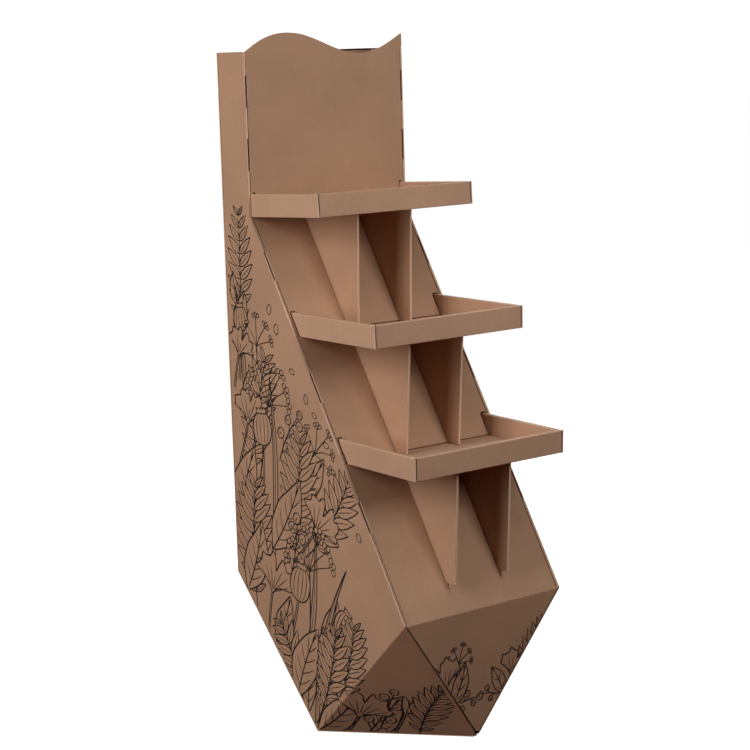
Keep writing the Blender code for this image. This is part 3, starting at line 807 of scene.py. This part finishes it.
class Garden:
    """Plants for a drawing: each grows from a place, in a direction, at a size."""

    def __init__(self, drawing, seed, pen):
        self.drawing = drawing
        self.chance = np.random.default_rng(seed)
        self.pen = pen

    def any(self, low, high):
        return self.chance.uniform(low, high)

    def growing(self, at, turn, length, bend):
        """A call that bends points of a plant along its length and moves them to its place."""
        return lambda points: turned(bent(points, length, bend), turn) + np.asarray(at, float)

    def stalk(self, grown, length, count, gap):
        """The two sides of a stalk."""
        for side in (-gap, gap):
            self.drawing.line(grown(straight(length, count, side * self.pen)), self.pen * STALK)

    def leaf(self, at, turn, length, width, bend, veins):
        """A broad leaf with a pointed tip, its middle rib and side veins."""
        grown = self.growing(at, turn, length, bend)
        share = np.linspace(0, 1, LEAF_POINTS)
        half = width / 2 * np.sin(pi * share ** LEAF_BELLY)
        half *= 1 + LEAF_WAVER * np.sin(share * LEAF_WAVES + self.any(*PHASES))
        upper = np.stack((share * length, half), axis=1)
        lower = np.stack((share * length, -half * self.any(0.9, 1.0)), axis=1)
        outline = np.vstack((upper, lower[-2:0:-1]))
        inner = [(grown(straight(length * LEAF_RIB, LEAF_POINTS)), self.pen, (1.0, 0.35))]
        for number in range(veins):
            root = FIRST_VEIN + VEIN_SPAN * number / (veins - 1)
            reach = root + VEIN_RUN
            for side in (-1, 1):
                far = side * width / 2 * np.sin(pi * reach ** LEAF_BELLY) * VEIN_REACH
                bend_place = ((root + VEIN_BEND) * length, far / 2)
                vein = smooth_line([(root * length, 0), bend_place, (reach * length, far)], 6)
                inner.append((grown(vein), self.pen * VEIN, (0.9, 0.35)))
        self.drawing.shape(grown(outline), self.pen, inner)

    def fern(self, at, turn, length, width, bend, pairs):
        """A frond: a thin rib with pairs of slim leaflets that get shorter to the tip."""
        grown = self.growing(at, turn, length, bend)
        self.drawing.line(grown(straight(length, FERN_POINTS)), self.pen, (1.0, 0.4))
        widest_lean, narrowing = FERN_LEANS
        for number in range(pairs, 0, -1):
            share = FERN_START + FERN_RUN * number / pairs
            growth = np.sin(pi * (1.08 - share)) ** 0.8
            size = width * (FERN_TIP + (1 - FERN_TIP) * growth)
            lean = radians(widest_lean - narrowing * share)
            root = np.array([share * length, 0])
            for side in (-1, 1):
                inner = []
                if size > width * SMALL_LEAFLET:
                    fold = turned([(size * end, 0) for end in LEAFLET_FOLD], side * lean) + root
                    inner.append((grown(fold), self.pen * FINE, (1.0, 0.4)))
                outline = turned(leaflet(size), side * lean) + root
                self.drawing.shape(grown(outline), self.pen * LEAFLET_RIM, inner)

    def fan(self, at, turn, stalk, radius, bend, rays):
        """A fan-shaped leaf on a stalk, with a cleft in the middle of its wavy rim."""
        grown = self.growing(at, turn, stalk + radius, bend)
        angles = np.linspace(-FAN_OPENING, FAN_OPENING, FAN_POINTS)
        (swell, waves), (ripple, ripples) = FAN_WAVES
        wave = 1 + swell * np.sin(angles * waves + self.any(*PHASES))
        wave += ripple * np.sin(angles * ripples)
        cleft = 1 - FAN_CLEFT * np.exp(-(angles / FAN_CLEFT_WIDTH) ** 2)
        droop = 1 - FAN_DROOP * (np.abs(angles) / FAN_OPENING) ** 3
        rim_reach = radius * wave * cleft * droop
        rim = np.stack((rim_reach * np.cos(angles), rim_reach * np.sin(angles)), axis=1)
        low_waist, high_waist = (end * FAN_WAIST + (0.10 * radius, 0) for end in rim[[0, -1]])
        low = smooth_line([(0, 0), low_waist, rim[0]], 8)
        high = smooth_line([rim[-1], high_waist, (0, 0)], 8)
        outline = np.vstack((low[:-1], rim, high[1:-1]))
        inner = []
        for ray in np.linspace(-FAN_REACH, FAN_REACH, rays):
            angle = ray * FAN_OPENING
            start = radius * self.any(0.10, 0.22)
            end = radius * self.any(0.66, 0.86) * (CLEFT_RAY if abs(ray) < 0.1 else 1)
            line = np.array((towards(angle * 0.8, start), towards(angle, end)))
            inner.append((grown(line + (stalk, 0)), self.pen * RAY, (0.8, 0.4)))
        self.drawing.shape(grown(outline + (stalk, 0)), self.pen, inner)
        self.stalk(grown, stalk, 12, gap=0.6)

    def umbel(self, at, turn, stalk, radius, bend, rays=7):
        """A seed head: rays like an umbrella's, each with a tuft of small round seeds."""
        grown = self.growing(at, turn, stalk + radius, bend)
        for number, share in enumerate(np.linspace(-1, 1, rays)):
            angle = UMBEL_OPENING * share
            reach = radius * (0.82 + 0.18 * cos(angle * 1.3)) * (0.92 if number % 2 else 1)
            tip = towards(angle, reach)
            for lean in UMBEL_TUFT:
                bud = tip + towards(angle + lean, radius * UMBEL_BUD)
                ball = ring(bud + (stalk, 0), radius * UMBEL_BALL, 12)
                self.drawing.shape(grown(ball), self.pen * VEIN)
                self.drawing.line(grown(np.array([tip, bud]) + (stalk, 0)), self.pen * FINE)
            ray = smooth_line([(0, 0), tip * UMBEL_BEND, tip], 8) + (stalk, 0)
            self.drawing.line(grown(ray), self.pen * TWIG, (1.0, 0.8))
        self.drawing.line(grown(straight(stalk, STEM_POINTS)), self.pen * STEM)

    def blade(self, at, turn, length, width, bend):
        """A long blade of grass with its fold."""
        grown = self.growing(at, turn, length, bend)
        share = np.linspace(0, 1, LEAF_POINTS)
        half = width / 2 * np.minimum(1, (1 - share) * 2.2) ** 0.8
        half *= 0.75 + 0.25 * np.sin(pi * share)
        upper = np.stack((share * length, half), axis=1)
        outline = np.vstack((upper, upper[:-1][::-1] * (1, -1)))
        fold = grown(straight(length * 0.9, LEAF_POINTS, width * 0.06))
        self.drawing.shape(grown(outline), self.pen * RIM, [(fold, self.pen * FINE, (0.8, 0.3))])

    def pod(self, at, turn, stalk, radius, bend):
        """A ribbed seed pod with a toothed crown, on a stalk."""
        grown = self.growing(at, turn, stalk + radius * POD_HEIGHT, bend)
        angles = np.linspace(0, pi, POD_POINTS)
        half = radius * np.sin(angles) ** 0.75
        body = stalk + radius * (1 - np.cos(angles)) * 1.12
        neck = body[-1] - radius * 0.10
        crown = [(neck, radius * POD_NECK)]
        for number, aside in enumerate(np.linspace(0.56, -0.56, 9)):
            crown.append((body[-1] + radius * POD_CROWN[number % 2], aside * radius * 1.05))
        crown.append((neck, -radius * POD_NECK))
        self.drawing.shape(grown(crown), self.pen * STALK)
        ribs = [np.stack((body[3:-4], half[3:-4] * share), axis=1) for share in POD_RIBS]
        self.drawing.shape(grown(closed(np.stack((body, half), axis=1))), self.pen,
                           [(grown(rib), self.pen * RAY, (0.5, 0.5)) for rib in ribs])
        self.stalk(grown, stalk, 20, gap=0.7)

    def berries(self, at, turn, length, radius, bend, count):
        """A twig with round berries on short stalks."""
        grown = self.growing(at, turn, length, bend)
        for number in range(count):
            share = FIRST_BERRY + (1 - FIRST_BERRY) * number / (count - 1)
            side = 1 if number % 2 else -1
            reach = radius * (2.3 - 0.9 * share) if number < count - 1 else 0
            centre = np.array([share * length + radius * 0.6, side * reach])
            ball = ring(centre, radius * self.any(0.88, 1.08), BERRY_POINTS)
            glint = arc(centre, radius * GLINT, 1.7, 3.0, 8)
            eye = arc(centre, radius * BERRY_EYE, 0, tau, 8)
            self.drawing.shape(grown(ball), self.pen * RIM,
                               [(grown(glint), self.pen * FINE, (0.5, 0.5)),
                                (grown(eye), self.pen * FINE, (1, 1))])
            root = (share * length - radius * 1.2, 0)
            stalk = smooth_line([root, centre * (1, 0.4) - (radius * 0.6, 0), centre], 6)
            self.drawing.line(grown(stalk), self.pen * TWIG)
        self.drawing.line(grown(straight(length, STEM_POINTS)), self.pen, (1.0, 0.6))

    def seeds(self, places, size):
        """Loose seeds in the air."""
        for at in places:
            radius = size * self.any(0.5, 1.0)
            oval = ring((0, 0), 1, 14) * (radius, radius * 0.62)
            self.drawing.shape(turned(oval, self.any(0, 3)) + at, self.pen * VEIN)


def drawn(plants, seeds, limit, seed):
    """The lines of a drawing of the listed plants, cut off at the rim of its panel."""
    drawing = Drawing(limit)
    garden = Garden(drawing, seed, PEN)
    for kind, at, heading, sizes in plants:
        getattr(garden, kind)(at, radians(heading), **sizes)
    garden.seeds(seeds, SEED_SIZE)
    return drawing.lines


def unit(vector):
    """A vector's direction, one long."""
    return np.asarray(vector) / np.linalg.norm(vector)


def fold_of_drawing():
    """The corner facet's fold in the side's drawing: its upper end and its direction."""
    knee = np.array((REAR - KNEE[1], KNEE[2])) / MILLIMETRE
    base = np.array((REAR - BASE_REAR[1], BASE_REAR[2])) / MILLIMETRE
    return knee, unit(base - knee)


def past_fold(flat):
    """How far points of the side's drawing lie past the fold of the corner facet."""
    knee, along = fold_of_drawing()
    return (flat - knee) @ np.array((-along[1], along[0]))


def with_fold_points(points, widths):
    """A line of the side's drawing with more points where it crosses the fold."""
    past = past_fold(points)
    legs = np.arange(len(points))
    gain = np.diff(past)
    gain = np.where(gain == 0, np.inf, gain)
    crossings = [legs[:-1] + (level - past[:-1]) / gain for level in FOLD_LEVELS]
    extra = np.concatenate(crossings)
    leg = np.tile(legs[:-1], len(FOLD_LEVELS))
    extra = extra[(extra > leg) & (extra < leg + 1)]
    places = np.union1d(legs, extra)
    fuller = np.stack([np.interp(places, legs, points[:, axis]) for axis in (0, 1)], axis=1)
    return fuller, np.interp(places, legs, widths)


def on_side(flat):
    """Places of the side's drawing on the left wall and on its corner facet."""
    knee, along = fold_of_drawing()
    run = (flat - knee) @ along * MILLIMETRE
    past = past_fold(flat) * MILLIMETRE
    fold = unit(np.subtract(BASE_REAR, KNEE))
    facet = np.subtract(APEX, KNEE)
    facet = unit(facet - fold * (facet @ fold))
    from_rear, height = flat.T * MILLIMETRE
    wall = np.stack((np.full(len(flat), -HALF_WIDTH), REAR - from_rear, height), axis=1)
    corner = KNEE + run[:, None] * fold + past[:, None] * facet
    return np.where(past[:, None] > 0, corner, wall)


def on_plane(flat, start, climb):
    """Places on a plane that climbs from the middle of its lower rim."""
    level, upwards = flat[:, :1] * MILLIMETRE, flat[:, 1:] * MILLIMETRE
    return start + level * (1, 0, 0) + upwards * unit(climb)


def on_foot(flat):
    return on_plane(flat, APEX, (0, KNEE[1] - APEX[1], KNEE[2]))


def on_slope(flat):
    climb = (0, SLOPE_TOP[0] - KNEE[1], SLOPE_TOP[1] - KNEE[2])
    return on_plane(flat, (0, *KNEE[1:]), climb)


def inside_back(flat):
    return on_plane(flat, (0, REAR - BACK_BOARD, 0), (0, 0, 1))


def band(start, end, width):
    """A straight line of an even width."""
    points = resampled(np.array((start, end), float), LONGEST_SPAN)
    return points, np.full(len(points), width)


def painted_shade_on_slope():
    """Painted shade: dark lines where the slope meets the side panels, and the floors and walls of
    two trays.
    """
    lines = []
    for low, high in JOINTS:
        for place in (-JOINT_PLACE, JOINT_PLACE):
            lines.append(band((place, low), (place, high), JOINT_GAP))
    for floor, wall_top, inner, outer in TRAY_FEET:
        level = floor + FLOOR_GAP / 2
        for start, end in ((-inner, RIBS[0][0]), (RIBS[0][1], RIBS[1][0]), (RIBS[1][1], inner)):
            lines.append(band((start, level), (end, level), FLOOR_GAP))
        for side in (-1, 1):
            within = side * (inner - INNER_GAP)
            beyond = side * (outer + OUTER_GAP / 2)
            lines.append(band((within, floor), (within, wall_top), INNER_GAP))
            lines.append(band((beyond, floor - FLOOR_DEPTH), (beyond, wall_top), OUTER_GAP))
    return lines


def surface_of(board):
    """A board's surface, for finding the nearest place on it."""
    surface = bmesh.new()
    surface.from_mesh(board.data)
    tree = BVHTree.FromBMesh(surface)
    surface.free()
    return tree


def ribbon_section(surface, right, left, lift):
    """A ribbon's four corners at a point of its line: two on the board, and two sunk into it."""
    top = []
    under = []
    for rim in (right, left):
        place, outwards = surface.find_nearest(Vector(rim))[:2]
        top.append(place + outwards * lift)
        under.insert(0, place - outwards * INK_SINK)
    return top + under


def ribbon_faces(first, count):
    """The faces of a closed ribbon, from the number of its first corner and its count of points."""
    faces = []
    for start in range(first, first + 4 * (count - 1), 4):
        for near, far in ((0, 1), (1, 2), (2, 3), (3, 0)):
            faces.append((start + near, start + 4 + near, start + 4 + far, start + far))
    last = first + 4 * (count - 1)
    faces.append((first, first + 1, first + 2, first + 3))
    faces.append((last + 3, last + 2, last + 1, last))
    return faces


def printed(name, lines, placing, board, ink, mirrored=False):
    """The lines of a drawing as thin closed ribbons on a board."""
    surface = surface_of(board)
    turn = (-1, 1, 1) if mirrored else (1, 1, 1)
    corners = []
    faces = []
    for number, (points, widths) in enumerate(lines):
        lift = INK_LIFT + INK_LIFT_STEP * (number % INK_LAYERS)
        faces += ribbon_faces(len(corners), len(points))
        run = np.gradient(points, axis=0)
        run /= np.linalg.norm(run, axis=1)[:, None]
        aside = np.stack((-run[:, 1], run[:, 0]), axis=1) * widths[:, None] / 2
        for right, left in zip(placing(points - aside) * turn, placing(points + aside) * turn):
            corners += ribbon_section(surface, right, left, lift)
    if mirrored:
        faces = [face[::-1] for face in faces]
    mesh = bpy.data.meshes.new(name)
    mesh.from_pydata(corners, [], faces)
    mesh.materials.append(ink)
    piece = new_object(name, mesh)
    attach(piece, "root")


def seen_apart(tree, unseen, seen, surface):
    """Lets the camera see one shader, and the light on its way meet another."""
    pick = tree.nodes.new("ShaderNodeMixShader")
    path = tree.nodes.new("ShaderNodeLightPath")
    tree.links.new(path.outputs["Is Camera Ray"], pick.inputs[0])
    tree.links.new(unseen, pick.inputs[1])
    tree.links.new(seen, pick.inputs[2])
    tree.links.new(pick.outputs[0], surface)


def studio_floor():
    """A wide pale floor, white to the camera apart from soft shadows."""
    mesh = bpy.data.meshes.new("studio_floor")
    turns = [tau * number / FLOOR_SIDES for number in range(FLOOR_SIDES)]
    rim = [(cos(turn) * FLOOR_RADIUS, sin(turn) * FLOOR_RADIUS, -FLOOR_DROP) for turn in turns]
    mesh.from_pydata(rim, [], [list(range(FLOOR_SIDES))])
    nodes = Nodes("studio_floor")
    nodes.set_looks(colour(FLOOR_TONE), 0.9, gloss=0.5)
    glow = nodes.add("Emission")
    glow.inputs["Strength"].default_value = FLOOR_GLOW
    pale = nodes.add("AddShader")
    nodes.join(nodes.shader.outputs[0], pale.inputs[0])
    nodes.join(glow.outputs[0], pale.inputs[1])
    dim = nodes.add("BsdfDiffuse")
    dim.inputs["Color"].default_value = colour(FLOOR_BOUNCE)
    seen_apart(nodes.tree, dim.outputs[0], pale.outputs[0],
               nodes.tree.nodes["Material Output"].inputs["Surface"])
    mesh.materials.append(nodes.material)
    floor = new_object("studio_floor", mesh)


def world_light():
    """White behind the object for the camera, and a dim even light on it."""
    world = bpy.data.worlds.new("Studio")
    bpy.context.scene.world = world
    world.use_nodes = True
    tree = world.node_tree
    even = tree.nodes["Background"]
    even.inputs["Color"].default_value = colour(EVEN_TINT)
    even.inputs["Strength"].default_value = EVEN_STRENGTH
    white = tree.nodes.new("ShaderNodeBackground")
    white.inputs["Color"].default_value = colour(WHITE)
    white.inputs["Strength"].default_value = WHITE_STRENGTH
    seen_apart(tree, even.outputs[0], white.outputs[0],
               tree.nodes["World Output"].inputs["Surface"])


def soft_light(name, place, aim, size, power):
    light = bpy.data.lights.new(name, "AREA")
    light.shape = "RECTANGLE"
    light.size, light.size_y = size
    light.energy = power
    light.color = WARM
    holder = new_object(name, light)
    holder.location = place
    towards_aim = Vector(aim) - Vector(place)
    holder.rotation_euler = towards_aim.to_track_quat("-Z", "Y").to_euler()


def photo_camera():
    """The camera at the photograph's viewing angle."""
    data = bpy.data.cameras.new("photo_camera")
    data.lens = LENS
    data.sensor_width = SENSOR
    data.clip_end = FARTHEST
    holder = new_object("photo_camera", data)
    back = -LOOK.normalized()
    side = LEVEL.normalized()
    turn = Matrix((side, back.cross(side), back)).transposed()
    holder.matrix_world = Matrix.Translation(EYE) @ turn.to_4x4()
    bpy.context.scene.camera = holder


kraft = kraft_liner("kraft_liner", KRAFT)
kraft_tray = kraft_liner("kraft_liner_tray", KRAFT_TRAY)
edge = raw_edge("cut_edge", CUT_EDGE)
edge_tray = raw_edge("cut_edge_tray", CUT_EDGE_TRAY, TRAY_JOINT_SHADE)
edge_foot = raw_edge("cut_edge_foot_painted_shade", CUT_EDGE_FOOT)
ink = two_toned("printing_ink_and_painted_shade", INK_GRAIN, (0.35, 0.70), INK_TONES, (0.62, 0.78), gloss=0.3)
shade = two_toned("gap_shade", GAP_SHADE_FUZZ, (0.35, 0.65), GAP_SHADE_TONES, (0.94, 1.0), gloss=0.0)
greyboard = pressed_greyboard("pressed_greyboard")

sides = {}
for side in ("left", "right"):
    panel, rib = "side_panel_" + side, "rib_" + side
    sides[side] = dressed(panel, BOARD, (UP,), (kraft, edge, edge_foot))
    dressed(rib, BOARD, (UP,), (kraft, edge))
front = dressed("front_sheet", BOARD, (UP,), (kraft, edge, edge_foot))
back = dressed("back_sheet", BACK_BOARD, (UP,), (kraft, edge))
for tray in ("upper_tray", "middle_tray", "lower_tray"):
    dressed(tray, BOARD, (REARWARDS, UP), (kraft_tray, edge_tray))
for name, node in frame["nodes"].items():
    if name.startswith("ballast"):
        node.data.materials.clear()
        node.data.materials.append(greyboard)

side_lines = [with_fold_points(*line) for line in drawn(PLANTS, SEEDS, SIDE_LIMIT, SIDE_SEED)]
foot_lines = drawn(FOOT_PLANTS, (), FOOT_LIMIT, FOOT_SEED)
rim_line = band((-RIM_REACH, RIM_LEVEL), (RIM_REACH, RIM_LEVEL), RIM_BAND)
printed("print_left", side_lines, on_side, sides["left"], ink)
printed("print_right", side_lines, on_side, sides["right"], ink, mirrored=True)
printed("print_foot", foot_lines, on_foot, front, ink)
# The rim line is painted shade, drawn in ink on the back sheet's inner face
printed("rim_shade", [rim_line], inside_back, back, ink)
# Painted shade in the gaps and joints along the slope
printed("slope_gap_shade", painted_shade_on_slope(), on_slope, front, shade)

photo_camera()
studio_floor()
world_light()
for light in LIGHTS:
    soft_light(*light)

bpy.context.scene.view_settings.view_transform = "Standard"
